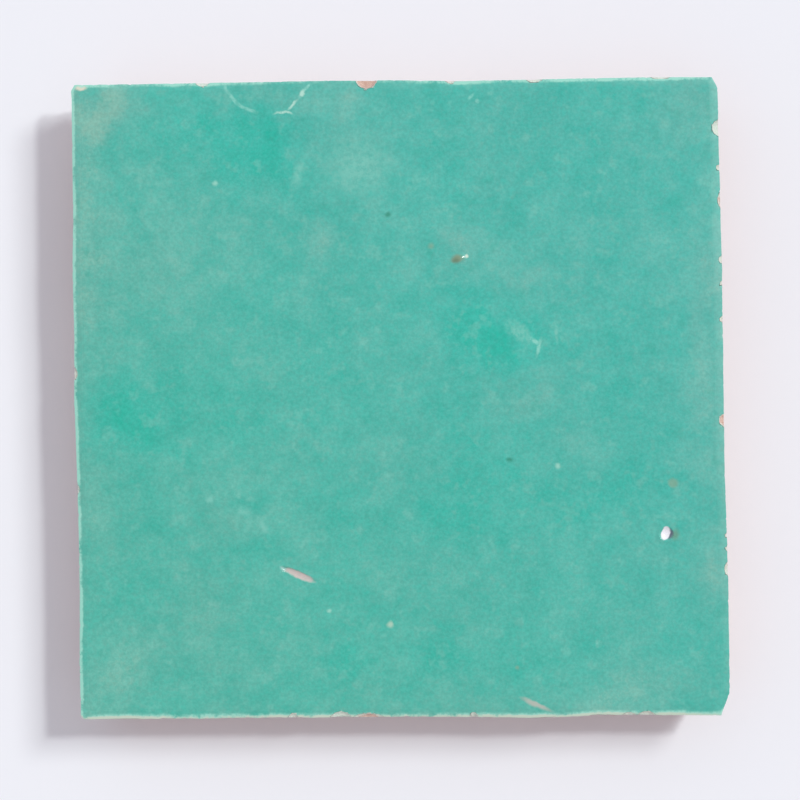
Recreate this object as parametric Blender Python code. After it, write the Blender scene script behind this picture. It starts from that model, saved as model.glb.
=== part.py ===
"""A hand-cut zellige tile: one fired clay tile, glazed on its upper face.

The tile lies with its glaze up, as it does before it is laid. Metres, +Z up.
The origin is at the middle of the underside, which is the face that is bedded in mortar.
The sides are called south (-Y), north (+Y), west (-X) and east (+X).

A cutter trims a glazed tile with a heavy hammer over an upright chisel. Each blow takes a flake
from the clay below the glaze, so that the sides lean in towards the underside and neighbouring
glazed edges can meet. The block below is shaped in the same order: the slab, the row of blows
along each side, and then the corners, chips and pits that single knocks left.
"""

import math
import random

import bmesh
import bpy
from mathutils import Matrix, Vector

# Overall size of the glazed face, and the thickness at its middle
FACE_WIDTH = 0.1014
FACE_DEPTH = 0.0997
THICKNESS = 0.0115

# How far each corner of the glazed face lies from the true rectangle's corner, as (x, y)
CORNER_SHIFTS = {
    ("south", "west"): (-0.00005, 0.0004),
    ("south", "east"): (0.00035, -0.0003),
    ("north", "east"): (-0.00025, 0.0001),
    ("north", "west"): (-0.00025, 0.0003),
}

# How far each glazed edge stands out from a straight line between its corners,
# at even steps from west to east or from south to north
EDGE_WANDER = {
    "south": (0.0, 0.00005, 0.00005, -0.0001, -0.00005, -0.0001, 0.00005, 0.0003, -0.0001, 0.00005, 0.0),
    "north": (0.0, -0.00005, 0.0, 0.00005, 0.0001, 0.00005, -0.00015, -0.0001, 0.0, 0.0001, 0.0),
    "west": (0.0, 0.00005, -0.00015, -0.00015, 0.0, 0.00025, 0.00005, 0.0002, -0.0001, -0.0001, 0.0),
    "east": (0.0, 0.00005, 0.0001, 0.00005, -0.0001, -0.00005, 0.00005, 0.00015, 0.0001, 0.0, 0.0),
}

# The glazed face: a low crown, slow waves where the clay was pressed by hand, and a rim that
# the melted glaze has rounded. Each wave has its direction as (x, y), and its phase
CROWN = 0.00030
WAVE_HEIGHT = 0.00012
WAVE_LENGTH = 0.041
WAVES = ((1.0, 0.35, 0.6), (-0.3, 0.8, 2.1))
RIM_WIDTH = 0.0016
RIM_DROP = 0.00018

# The chiselled sides: a nearly upright land under the glaze, then the undercut. A blow's ridges
# stand out of line by up to half the jitter, and lean along the side by up to the slant
LIP_HEIGHT = 0.0008
LAND_HEIGHT = 0.0026
LAND_INSET = 0.00030
UNDERCUT = 0.0028
UNDERCUT_SPREAD = 0.0006
BLOW_WIDTH = 0.0092
BLOW_JITTER = 0.0026
BLOW_SLANT = 0.0024
SCAR_DEPTH = 0.00060
SHALLOWEST_SCAR = 0.35
COLUMNS_PER_BLOW = 2

# Flakes that split off below the land: how many on each side, and the largest one's length
# along the side, height up it and depth into it. Each lies within the middle share of its own
# stretch of the side, with its own middle a share of its height above the foot
FLAKES_PER_SIDE = 8
FLAKE_LENGTH = 0.0150
FLAKE_HEIGHT = 0.0110
FLAKE_DEPTH = 0.0013
FLAKE_TURN = math.radians(35.0)
SMALLEST_FLAKE = 0.5
FLATTEST_FLAKE = 0.7
FLAKE_STRETCH = (0.1, 0.9)
FLAKE_RISE = (0.20, 0.45)

# Corners knocked off by the hammer: the length lost along x and along y
CORNER_CLIPS = {
    ("south", "west"): (0.0002, 0.0002),
    ("south", "east"): (0.0012, 0.0032),
    ("north", "east"): (0.0007, 0.0013),
    ("north", "west"): (0.0004, 0.0007),
}

# Chips in the glazed rim: the share of the way along the side, length along it and reach inwards
RIM_CHIPS = {
    "south": (
        (0.332, 0.0016, 0.0008),
        (0.412, 0.0034, 0.0010),
        (0.456, 0.0050, 0.0007),
        (0.610, 0.0013, 0.0009),
        (0.840, 0.0024, 0.0006),
        (0.867, 0.0030, 0.0008),
    ),
    "north": (
        (0.202, 0.0022, 0.0006),
        (0.467, 0.0034, 0.0013),
        (0.579, 0.0016, 0.0005),
        (0.704, 0.0026, 0.0005),
        (0.915, 0.0034, 0.0004),
    ),
    "west": (
        (0.354, 0.0016, 0.0004),
        (0.552, 0.0022, 0.0005),
    ),
    "east": (
        (0.225, 0.0022, 0.0006),
        (0.257, 0.0008, 0.0004),
        (0.278, 0.0008, 0.0004),
        (0.453, 0.0020, 0.0008),
        (0.626, 0.0010, 0.0006),
        (0.680, 0.0009, 0.0005),
        (0.716, 0.0013, 0.0006),
        (0.798, 0.0026, 0.0005),
        (0.849, 0.0010, 0.0006),
        (0.918, 0.0026, 0.0010),
    ),
}
RIM_CHIP_FALL = 1.3

# A lens-shaped cutter stands off the clay by this share of its half size: over a side, and
# over the rim, where it stands off both outwards and upwards
SIDE_STAND_OFF = 0.6
RIM_STAND_OFF = 0.3

# A burst bubble in the glaze and a flaked scratch: the share of the way across and up the face
BUBBLE_PLACE = (0.908, 0.284)
BUBBLE_RADIUS = 0.0011
BUBBLE_DEPTH = 0.0005
SCRATCH_PLACE = (0.340, 0.228)
SCRATCH_LENGTH = 0.0060
SCRATCH_WIDTH = 0.0011
SCRATCH_DEPTH = 0.00025
SCRATCH_TURN = math.radians(-24.0)

# Pits that lumps of grit left in the underside: share across, share up, radius and depth
UNDERSIDE_PITS = (
    (0.27, 0.64, 0.0016, 0.0009),
    (0.58, 0.31, 0.0011, 0.0007),
    (0.74, 0.77, 0.0021, 0.0010),
    (0.41, 0.18, 0.0009, 0.0006),
)

# Colours as the photograph shows them, and how rough each surface is
GLAZE_COLOUR = (0.098, 0.479, 0.402, 1.0)
GLAZE_ROUGHNESS = 0.16
CLAY_COLOUR = (0.745, 0.395, 0.262, 1.0)
CLAY_ROUGHNESS = 0.9

SEED = 12
SIDES = ("south", "north", "west", "east")
OUTWARD = {
    "south": Vector((0, -1, 0)),
    "north": Vector((0, 1, 0)),
    "west": Vector((-1, 0, 0)),
    "east": Vector((1, 0, 0)),
}
UP = Vector((0, 0, 1))
ENDS = {
    "south": (("south", "west"), ("south", "east")),
    "north": (("north", "west"), ("north", "east")),
    "west": (("south", "west"), ("north", "west")),
    "east": (("south", "east"), ("north", "east")),
}


def mix(start, end, share):
    """The value the given share of the way from start to end."""
    return start + (end - start) * share


def read_list(values, share):
    """Reads a list of evenly spaced values at a share from 0 to 1, in straight lines between them."""
    place = min(max(share, 0.0), 1.0) * (len(values) - 1)
    step = min(int(place), len(values) - 2)
    return mix(values[step], values[step + 1], place - step)


def side_inset(depth):
    """How far the sides have drawn in at a depth below the glazed face, without the blows."""
    if depth <= LAND_HEIGHT:
        return LAND_INSET * depth / LAND_HEIGHT
    return mix(LAND_INSET, UNDERCUT, (depth - LAND_HEIGHT) / (THICKNESS - LAND_HEIGHT))


def corner(name, depth):
    """A corner of the tile's outline at a depth below the glazed face."""
    south_or_north, west_or_east = name
    shift_x, shift_y = CORNER_SHIFTS[name]
    inset = side_inset(depth)
    out_x = OUTWARD[west_or_east].x
    out_y = OUTWARD[south_or_north].y
    x = out_x * (FACE_WIDTH / 2 - inset) + shift_x
    y = out_y * (FACE_DEPTH / 2 - inset) + shift_y
    return Vector((x, y, 0))


class ChiselledSide:
    """One side of the tile, with the row of blows that trimmed it."""

    def __init__(self, name, length, chance):
        self.name = name
        self.blows = blow_count(length)
        inner = range(1, self.blows)
        jitter = BLOW_JITTER / BLOW_WIDTH / 2
        self.ridges = [0.0]
        self.ridges += [(n + chance.uniform(-1, 1) * jitter) / self.blows for n in inner]
        self.ridges += [1.0]
        self.slants = [0.0]
        self.slants += [chance.uniform(-1, 1) * BLOW_SLANT / length for _ in inner]
        self.slants += [0.0]
        self.undercuts = [0.0]
        self.undercuts += [chance.uniform(-1, 1) * UNDERCUT_SPREAD for _ in inner]
        self.undercuts += [0.0]
        self.scars = [chance.uniform(SHALLOWEST_SCAR, 1) * SCAR_DEPTH for _ in range(self.blows)]

    def point(self, share, depth):
        """The point at a share of the way along the side and a depth below the glazed face."""
        below_land = max(0.0, (depth - LAND_HEIGHT) / (THICKNESS - LAND_HEIGHT))
        moved = read_list(self.ridges, share) + read_list(self.slants, share) * below_land
        start, end = ENDS[self.name]
        place = corner(start, depth).lerp(corner(end, depth), moved)
        blow = min(int(share * self.blows), self.blows - 1)
        across_blow = 2 * (share * self.blows - blow) - 1
        scar = self.scars[blow] * (1 - across_blow**2) * min(1.0, depth / LAND_HEIGHT)
        undercut = read_list(self.undercuts, share) * below_land
        wander = read_list(EDGE_WANDER[self.name], moved)
        return place + OUTWARD[self.name] * (wander - undercut - scar)


def blow_count(length):
    """How many blows of the chisel trimmed a side of this length."""
    return round(length / BLOW_WIDTH)


def make_sides():
    """The four chiselled sides, by name."""
    chance = random.Random(SEED)
    lengths = {"south": FACE_WIDTH, "north": FACE_WIDTH, "west": FACE_DEPTH, "east": FACE_DEPTH}
    return {name: ChiselledSide(name, lengths[name], chance) for name in SIDES}


def slab_point(sides, across, up, depth):
    """A point of the slab by its shares across and up the face: a Coons patch between the sides."""
    south = sides["south"].point(across, depth)
    north = sides["north"].point(across, depth)
    west = sides["west"].point(up, depth)
    east = sides["east"].point(up, depth)
    low = corner(("south", "west"), depth).lerp(corner(("south", "east"), depth), across)
    high = corner(("north", "west"), depth).lerp(corner(("north", "east"), depth), across)
    return south.lerp(north, up) + west.lerp(east, across) - low.lerp(high, up)


def glaze_height(x, y):
    """The height of the glazed face over the underside, before the rim drops."""
    across = 2 * x / FACE_WIDTH
    up = 2 * y / FACE_DEPTH
    crown = CROWN * ((1 - across**2) * (1 - up**2) - 1)
    turn = 2 * math.pi / WAVE_LENGTH
    waves = sum(math.sin(turn * (along_x * x + along_y * y) + phase) for along_x, along_y, phase in WAVES)
    return THICKNESS + crown + WAVE_HEIGHT * waves


def rim_fall(across, up):
    """How far the glaze has rounded down at shares across and up the face."""
    inside = min(across * FACE_WIDTH, (1 - across) * FACE_WIDTH, up * FACE_DEPTH, (1 - up) * FACE_DEPTH)
    near_rim = max(0.0, 1 - inside / RIM_WIDTH)
    return RIM_DROP * near_rim**2


def stations(length):
    """The shares along a side at which the slab gets a loop cut: two at each rim, then the blows."""
    count = blow_count(length) * COLUMNS_PER_BLOW
    rims = [RIM_WIDTH / 3 / length, RIM_WIDTH / length]
    inner = [n / count for n in range(1, count)]
    return rims + inner + [1 - share for share in rims]


def loop_cuts(block, axis, shares):
    """Cuts the unit block all round at each share along an axis."""
    for share in shares:
        everything = block.verts[:] + block.edges[:] + block.faces[:]
        bmesh.ops.bisect_plane(block, geom=everything, plane_co=axis * share, plane_no=axis)


def shape_slab(sides):
    """The trimmed slab, from a unit block with a loop cut at each ridge and each level."""
    block = bmesh.new()
    bmesh.ops.create_cube(block, size=1.0, matrix=Matrix.Translation((0.5, 0.5, 0.5)))
    loop_cuts(block, Vector((1, 0, 0)), stations(FACE_WIDTH))
    loop_cuts(block, Vector((0, 1, 0)), stations(FACE_DEPTH))
    land = 1 - LAND_HEIGHT / THICKNESS
    lip = 1 - LIP_HEIGHT / THICKNESS
    loop_cuts(block, UP, (land / 2, land, lip))

    for vertex in block.verts:
        across, up, level = vertex.co
        place = slab_point(sides, across, up, (1 - level) * THICKNESS)
        top = glaze_height(place.x, place.y) - rim_fall(across, up)
        vertex.co = (place.x, place.y, level * top)

    underside = [face for face in block.faces if all(vertex.co.z == 0 for vertex in face.verts)]
    bmesh.ops.dissolve_faces(block, faces=underside)
    block.normal_update()
    return block


def make_material(name, colour, roughness):
    """A Principled material."""
    material = bpy.data.materials.new(name)
    material.use_nodes = True
    shader = material.node_tree.nodes["Principled BSDF"]
    shader.inputs["Base Color"].default_value = colour
    shader.inputs["Roughness"].default_value = roughness
    shader.inputs["Metallic"].default_value = 0.0
    material.diffuse_color = colour
    return material


def add_object(name, block, materials, collection):
    """Turns a bmesh into a named object in a collection."""
    mesh = bpy.data.meshes.new(name)
    block.to_mesh(mesh)
    block.free()
    for material in materials:
        mesh.materials.append(material)
    thing = bpy.data.objects.new(name, mesh)
    collection.objects.link(thing)
    return thing


def add_cutter(name, block, clay, cutters):
    """A cutter for the Boolean, hidden from renders. The faces it cuts take its clay material."""
    cutter = add_object(name, block, [clay], cutters)
    cutter.display_type = "WIRE"
    cutter.hide_render = True
    return cutter


def add_lens(name, matrix, half_sizes, clay, cutters):
    """A cutter shaped as a rounded lens, with its half sizes along the matrix's axes."""
    block = bmesh.new()
    scale = Matrix.Diagonal((*half_sizes, 1.0))
    bmesh.ops.create_icosphere(block, subdivisions=2, radius=1.0, matrix=matrix @ scale)
    return add_cutter(name, block, clay, cutters)


def side_matrix(side, place):
    """Axes at a place on a side: X along the side, Y outwards, Z up."""
    outward = OUTWARD[side]
    along = outward.cross(UP)
    matrix = Matrix((along, outward, UP)).transposed().to_4x4()
    matrix.translation = place
    return matrix


def add_rim_chips(sides, clay, cutters):
    """Chips out of the glazed rim, by lenses that stand off it outwards and upwards."""
    bite = math.sqrt(1 - RIM_STAND_OFF**2) - RIM_STAND_OFF
    narrowing = math.sqrt(1 - 2 * RIM_STAND_OFF**2)
    for side, chips in RIM_CHIPS.items():
        for number, (share, length, reach) in enumerate(chips, 1):
            half_length = length / 2 / narrowing
            half_reach = reach / bite
            half_fall = reach * RIM_CHIP_FALL / bite
            place = sides[side].point(share, 0.0)
            place.z = glaze_height(place.x, place.y) - RIM_DROP
            place += (OUTWARD[side] * half_reach + UP * half_fall) * RIM_STAND_OFF
            half_sizes = (half_length, half_reach, half_fall)
            add_lens(f"rim_chip_{side}_{number}", side_matrix(side, place), half_sizes, clay, cutters)


def lean_of_sides():
    """The angle by which the sides lean in below the land."""
    return math.atan2(UNDERCUT - LAND_INSET, THICKNESS - LAND_HEIGHT)


def add_flakes(sides, clay, cutters):
    """Shallow shell-shaped scars below the land of each side, where the blows split flakes off."""
    chance = random.Random(SEED + 1)
    narrowing = math.sqrt(1 - SIDE_STAND_OFF**2)
    for side in SIDES:
        for number in range(FLAKES_PER_SIDE):
            share = (number + chance.uniform(*FLAKE_STRETCH)) / FLAKES_PER_SIDE
            size = chance.uniform(SMALLEST_FLAKE, 1)
            height = FLAKE_HEIGHT * size * chance.uniform(FLATTEST_FLAKE, 1)
            above_foot = height * chance.uniform(*FLAKE_RISE)
            half_length = FLAKE_LENGTH * size / 2 / narrowing
            half_depth = FLAKE_DEPTH * size / (1 - SIDE_STAND_OFF)
            half_height = height / 2 / narrowing
            place = sides[side].point(share, THICKNESS - above_foot) + UP * above_foot
            place += OUTWARD[side] * half_depth * SIDE_STAND_OFF
            lean = Matrix.Rotation(-lean_of_sides(), 4, "X")
            turn = Matrix.Rotation(chance.uniform(-1, 1) * FLAKE_TURN, 4, "Y")
            matrix = side_matrix(side, place) @ lean @ turn
            half_sizes = (half_length, half_depth, half_height)
            add_lens(f"flake_{side}_{number + 1}", matrix, half_sizes, clay, cutters)


def add_corner_clips(clay, cutters):
    """Upright wedges that knock off the corners, leaning in towards the underside."""
    for name, (lost_x, lost_y) in CORNER_CLIPS.items():
        south_or_north, west_or_east = name
        out_x = OUTWARD[west_or_east]
        out_y = OUTWARD[south_or_north]
        outward = (out_x * lost_y + out_y * lost_x).normalized()
        middle = corner(name, 0.0) - out_x * lost_x / 2 - out_y * lost_y / 2
        middle.z = THICKNESS
        size = THICKNESS * 3
        turn = Matrix.Rotation(math.atan2(outward.y, outward.x), 4, "Z")
        lean = Matrix.Rotation(lean_of_sides(), 4, "Y")
        stand_off = Matrix.Translation((size / 2, 0, 0))
        block = bmesh.new()
        bmesh.ops.create_cube(block, size=size, matrix=Matrix.Translation(middle) @ turn @ lean @ stand_off)
        add_cutter("corner_clip_" + "_".join(name), block, clay, cutters)


def face_place(across, up):
    """The place on the glazed face at shares across and up it."""
    x = (across - 0.5) * FACE_WIDTH
    y = (up - 0.5) * FACE_DEPTH
    return Vector((x, y, glaze_height(x, y)))


def ball_for(radius, depth):
    """The radius of the ball that leaves a pit of this radius and depth in a flat face."""
    return (radius**2 + depth**2) / (2 * depth)


def add_face_marks(clay, cutters):
    """The burst bubble and the flaked scratch in the glazed face, and the pits of the underside."""
    ball = ball_for(BUBBLE_RADIUS, BUBBLE_DEPTH)
    place = face_place(*BUBBLE_PLACE) + Vector((0, 0, ball - BUBBLE_DEPTH))
    add_lens("glaze_bubble", Matrix.Translation(place), (ball, ball, ball), clay, cutters)

    place = face_place(*SCRATCH_PLACE)
    matrix = Matrix.Translation(place) @ Matrix.Rotation(SCRATCH_TURN, 4, "Z")
    half_sizes = (SCRATCH_LENGTH / 2, SCRATCH_WIDTH / 2, SCRATCH_DEPTH)
    add_lens("glaze_scratch", matrix, half_sizes, clay, cutters)

    for number, (across, up, radius, depth) in enumerate(UNDERSIDE_PITS, 1):
        ball = ball_for(radius, depth)
        place = face_place(across, up)
        place.z = depth - ball
        add_lens(f"underside_pit_{number}", Matrix.Translation(place), (ball, ball, ball), clay, cutters)


def paint_faces(tile):
    """Gives the upward faces the glaze and the others the clay, and shades the glaze smooth."""
    glaze_slot = 0
    clay_slot = 1
    for face in tile.data.polygons:
        glazed = face.normal.z > 0.5
        face.material_index = glaze_slot if glazed else clay_slot
        face.use_smooth = glazed


def new_collection(name):
    """A collection in the scene."""
    collection = bpy.data.collections.new(name)
    bpy.context.scene.collection.children.link(collection)
    return collection


def build():
    """Clears the scene and makes the tile with its cutters."""
    for thing in list(bpy.data.objects):
        bpy.data.objects.remove(thing, do_unlink=True)

    parts = new_collection("zellige_tile")
    cutters = new_collection("cutters")
    glaze = make_material("teal_glaze", GLAZE_COLOUR, GLAZE_ROUGHNESS)
    clay = make_material("fired_clay", CLAY_COLOUR, CLAY_ROUGHNESS)

    sides = make_sides()
    tile = add_object("zellige_tile", shape_slab(sides), [glaze, clay], parts)
    paint_faces(tile)

    add_corner_clips(clay, cutters)
    add_rim_chips(sides, clay, cutters)
    add_flakes(sides, clay, cutters)
    add_face_marks(clay, cutters)

    knocks = tile.modifiers.new("knocks", "BOOLEAN")
    knocks.operation = "DIFFERENCE"
    knocks.solver = "EXACT"
    knocks.operand_type = "COLLECTION"
    knocks.collection = cutters
    knocks.material_mode = "TRANSFER"


build()
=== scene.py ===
"""The looks of a hand-cut zellige tile: one fired clay tile with a mottled teal glaze on its face.

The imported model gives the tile's box and its body. The piece made here stands for its one solid.
It is the same trimmed slab with the same knocks, in a mesh fine enough for the broken clay of the
sides, the worn rim and the marks in the glaze. Metres, with the glaze up, in +Z.
"""

import functools
import itertools
import math
import random

import bpy
import numpy as np
from mathutils import Matrix, Vector, noise
from mathutils.geometry import delaunay_2d_cdt


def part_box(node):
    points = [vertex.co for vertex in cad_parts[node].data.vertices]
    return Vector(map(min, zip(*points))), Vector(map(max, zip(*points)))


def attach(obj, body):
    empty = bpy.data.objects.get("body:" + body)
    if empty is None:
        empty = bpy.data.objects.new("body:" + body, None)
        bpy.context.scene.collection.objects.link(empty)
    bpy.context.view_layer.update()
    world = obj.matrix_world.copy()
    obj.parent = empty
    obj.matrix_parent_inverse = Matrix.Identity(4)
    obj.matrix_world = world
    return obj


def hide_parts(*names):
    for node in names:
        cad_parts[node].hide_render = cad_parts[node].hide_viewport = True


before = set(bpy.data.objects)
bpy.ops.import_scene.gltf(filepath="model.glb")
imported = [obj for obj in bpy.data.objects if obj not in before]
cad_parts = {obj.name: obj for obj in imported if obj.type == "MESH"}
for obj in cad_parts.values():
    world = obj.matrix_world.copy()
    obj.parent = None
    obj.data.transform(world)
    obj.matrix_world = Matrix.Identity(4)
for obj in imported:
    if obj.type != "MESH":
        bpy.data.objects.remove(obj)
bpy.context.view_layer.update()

MM = 0.001

# The trimmed slab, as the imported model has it. EDGE_WANDER says how far each side wanders outwards
# at even steps along it, in WANDER_STEPs. A chip in RIM_CHIPS has its share of the way along the
# side, its length and its reach inwards. A pit has its share across, share up, radius and depth
FACE_WIDTH = 0.1014
FACE_DEPTH = 0.0997
THICKNESS = 0.0115
CORNER_SHIFTS = {
    ("south", "west"): (-0.00005, 0.0004),
    ("south", "east"): (0.00035, -0.0003),
    ("north", "west"): (-0.00025, 0.0003),
    ("north", "east"): (-0.00025, 0.0001),
}
WANDER_STEP = 0.00005
EDGE_WANDER = {
    "south": (0, 1, 1, -2, -1, -2, 1, 6, -2, 1, 0),
    "north": (0, -1, 0, 1, 2, 1, -3, -2, 0, 2, 0),
    "west": (0, 1, -3, -3, 0, 5, 1, 4, -2, -2, 0),
    "east": (0, 1, 2, 1, -2, -1, 1, 3, 2, 0, 0),
}
CROWN = 0.00030
WAVE_HEIGHT = 0.00012
WAVE_LENGTH = 0.041
WAVES = ((1.0, 0.35, 0.6), (-0.3, 0.8, 2.1))
RIM_WIDTH = 0.0016
RIM_DROP = 0.00018
LAND_HEIGHT = 0.0026
LAND_INSET = 0.00030
UNDERCUT = 0.0028
UNDERCUT_SPREAD = 0.0006
LEAN = math.atan2(UNDERCUT - LAND_INSET, THICKNESS - LAND_HEIGHT)
BLOW_WIDTH = 0.0092
BLOW_JITTER = 0.0026
BLOW_SLANT = 0.0024
SCAR_DEPTH = 0.00060
SHALLOWEST_SCAR = 0.35
FLAKES_PER_SIDE = 8
FLAKE_LENGTH = 0.0150
FLAKE_HEIGHT = 0.011
FLAKE_DEPTH = 0.0013
FLAKE_TURN = math.radians(35.0)
SMALLEST_FLAKE = 0.5
FLATTEST_FLAKE = 0.7
FLAKE_STRETCH = (0.1, 0.9)
FLAKE_RISE = (0.20, 0.45)
CORNER_CLIPS = {
    ("south", "west"): (0.0002, 0.0002),
    ("south", "east"): (0.0012, 0.0032),
    ("north", "east"): (0.0007, 0.0013),
    ("north", "west"): (0.0004, 0.0007),
}
RIM_CHIPS = {
    "south": (
        (0.332, 0.0016, 0.0008), (0.412, 0.0034, 0.0010), (0.456, 0.0050, 0.0007),
        (0.610, 0.0013, 0.0009), (0.840, 0.0024, 0.0006), (0.867, 0.0030, 0.0008),
    ),
    "north": (
        (0.202, 0.0022, 0.0006), (0.467, 0.0034, 0.0013), (0.579, 0.0016, 0.0005),
        (0.704, 0.0026, 0.0005), (0.915, 0.0034, 0.0004),
    ),
    "west": ((0.354, 0.0016, 0.0004), (0.552, 0.0022, 0.0005)),
    "east": (
        (0.225, 0.0022, 0.0006), (0.257, 0.0008, 0.0004), (0.278, 0.0008, 0.0004),
        (0.453, 0.0020, 0.0008), (0.626, 0.0010, 0.0006), (0.680, 0.0009, 0.0005),
        (0.716, 0.0013, 0.0006), (0.798, 0.0026, 0.0005), (0.849, 0.0010, 0.0006),
        (0.918, 0.0026, 0.0010),
    ),
}
SIDE_STAND_OFF = 0.6
RIM_STAND_OFF = 0.3
BUBBLE = (0.04137, -0.02154)
BUBBLE_RADIUS = 0.0011
BUBBLE_DEPTH = 0.0005
SCRATCH = (-0.01622, -0.02712)
SCRATCH_LENGTH = 0.0060
SCRATCH_WIDTH = 0.0011
SCRATCH_DEPTH = 0.00025
SCRATCH_TURN = math.radians(-24.0)
UNDERSIDE_PITS = (
    (0.27, 0.64, 0.0016, 0.0009), (0.58, 0.31, 0.0011, 0.0007),
    (0.74, 0.77, 0.0021, 0.0010), (0.41, 0.18, 0.0009, 0.0006),
)
SEED = 12
OUTWARD = {"south": (0, -1, 0), "north": (0, 1, 0), "west": (-1, 0, 0), "east": (1, 0, 0)}
SIDES = tuple(OUTWARD)
UP = Vector((0, 0, 1))
ENDS = {side: [corner for corner in CORNER_SHIFTS if side in corner] for side in SIDES}

# Fine relief that only this mesh has. Round the rim the glaze breaks back from the clay's edge by a
# width at even steps along each side, in millimetres, which swings by shares of itself, and small
# nicks bite into both. BARE_CHIPS are the rim chips that go down to the clay, by side and number
COLUMNS_PER_BLOW = 30
CORNER_COLUMNS = 12
LIP_ROWS = (0.0, 0.10 * MM, 0.22 * MM, 0.36 * MM, 0.52 * MM, 0.72 * MM, 0.98 * MM)
WALL_ROW = 0.30 * MM
BREAK_DEPTH = 0.75 * MM
BREAK_WIDTH = {
    "south": (0.20, 0.26, 0.20, 0.18, 0.16, 0.12, 0.18, 0.24, 0.28, 0.20, 0.06),
    "north": (0.16, 0.10, 0.08, 0.10, 0.10, 0.08, 0.12, 0.08, 0.10, 0.12, 0.14),
    "west": (0.14, 0.10, 0.12, 0.08, 0.10, 0.10, 0.08, 0.12, 0.10, 0.10, 0.14),
    "east": (0.16, 0.10, 0.10, 0.12, 0.10, 0.08, 0.12, 0.14, 0.12, 0.10, 0.10),
}
BREAK_CURVE = 1.3
SWING_SIZE = 5.0 * MM
SWING = 0.40
CRUMB_SIZE = 0.9 * MM
CRUMB_SWING = 0.28
LEAST_BREAK = 0.3
MOST_BREAK = 2.0
NICK_DEPTH = 0.12 * MM
NICK_LENGTH = 0.6 * MM
NICK_FALL = 1.2 * MM
NICK_START = 0.25
NICK_RANGE = 0.6
RIM_CHIP_FALL = 0.5
BARE_CHIPS = (("south", 2), ("north", 1), ("east", 3), ("east", 7))
CHIP_SLIP_DEPTH = 0.20 * MM
BARE_CHIP_GROWTH = 2.5

# The broken clay: its grain, the ridges between small breaks, the streaks the chisel drew down the
# land, the rings in each flake scar, and the many small spalls. Grain and ridges start at a depth
# and take another to reach their full height, and rings do so in scars of RING_DEPTH. Powers above 1
# make most spalls small, and most of them low
GRAIN_HEIGHT = 0.13 * MM
GRAIN_SIZE = 1.1 * MM
GRAIN_START = 0.25 * MM
GRAIN_RISE = 1.2 * MM
RIDGE_HEIGHT = 0.42 * MM
RIDGE_SIZE = 3.4 * MM
RIDGE_START = 0.8 * MM
RIDGE_RISE = 2.4 * MM
STREAK_HEIGHT = 0.07 * MM
STREAK_WIDTH = 0.55 * MM
STREAK_LENGTH = 4.0 * MM
RING_HEIGHT = 0.035 * MM
RING_PITCH = 1.15 * MM
RING_DEPTH = 0.5 * MM
SPALLS_PER_SIDE = 150
SPALL_LENGTH = 4.2 * MM
SPALL_DEPTH = 0.75 * MM
SMALLEST_SPALL = 0.3
SMALL_POWER = 1.5
THINNEST_SPALL = 0.4
FLATTEST_SPALL = 0.5
HIGHEST_SPALL = 0.82
LOW_POWER = 1.4
SPALL_ENDS = (0.01, 0.99)
HOLLOW_REACH = 4

# The glazed face: rows of points that follow the rim, each a distance in and with every nth point,
# then an even field of them, finer on the flaws. A row's point stays if it keeps ROW_CLEARANCE of
# that distance from every side. The glaze is thin along its rims, and so mint or cream: PALE_RIMS
# says over what width, and how much so at even steps along each side
RIM_ROWS = ((0.14 * MM, 1), (0.32 * MM, 1), (0.55 * MM, 1), (0.85 * MM, 2), (1.25 * MM, 2), (1.75 * MM, 2))
ROW_CLEARANCE = 0.75
CLOSEST_POINTS = 0.08 * MM
FACE_SPACING = 0.85 * MM
MARK_SPACING = 0.14 * MM
RIPPLE_HEIGHT = 0.018 * MM
RIPPLE_SIZE = 6.0 * MM
NIB = (0.0095, 0.0220)
NIB_HALF_LENGTH = 1.45 * MM
NIB_HALF_WIDTH = 1.0 * MM
NIB_HEIGHT = 0.26 * MM
NIB_TURN = math.radians(12.0)
BUBBLE_LIP = 0.05 * MM
BUBBLE_LIP_WIDTH = 0.18 * MM
SHARP_ANGLE = math.radians(40.0)
PALE_RIMS = {
    "mint_rim": {
        "south": (1.2 * MM, (0.8, 0.7, 0.9, 0.7, 0.7, 0.6, 0.7, 0.8, 0.7, 0.9, 0.5)),
        "north": (0.85 * MM, (0.8, 0.5, 0.9, 0.4, 0.3, 0.4, 1.0, 0.6, 0.9, 1.0, 0.5)),
        "west": (0.8 * MM, (1.0, 0.9, 1.0, 0.8, 0.9, 1.0, 0.8, 1.0, 0.9, 1.0, 0.9)),
        "east": (0.6 * MM, (0.3, 0.0, 0.1, 0.2, 0.0, 0.1, 0.2, 0.0, 0.1, 0.2, 0.1)),
    },
    "cream_rim": {"south": (0.66 * MM, (1.0, 0.9, 0.5, 0.8, 1.0, 0.6, 0.8, 1.0, 0.8, 1.0, 0.2))},
}
# Each spot has its middle, half sizes and turn: the flaws that stay glazed, and the finer fields
GLAZED_FLAWS = (
    (BUBBLE, (BUBBLE_RADIUS * 1.2, BUBBLE_RADIUS * 1.2), 0.0),
    (SCRATCH, (SCRATCH_LENGTH * 0.55, SCRATCH_WIDTH * 0.7), SCRATCH_TURN),
)
FINE_SPOTS = (
    (NIB, (NIB_HALF_LENGTH * 1.1, NIB_HALF_LENGTH * 1.1), 0.0),
    (BUBBLE, (BUBBLE_RADIUS * 1.35, BUBBLE_RADIUS * 1.35), 0.0),
    (SCRATCH, (SCRATCH_LENGTH * 0.55, SCRATCH_WIDTH * 0.8), SCRATCH_TURN),
)

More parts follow.
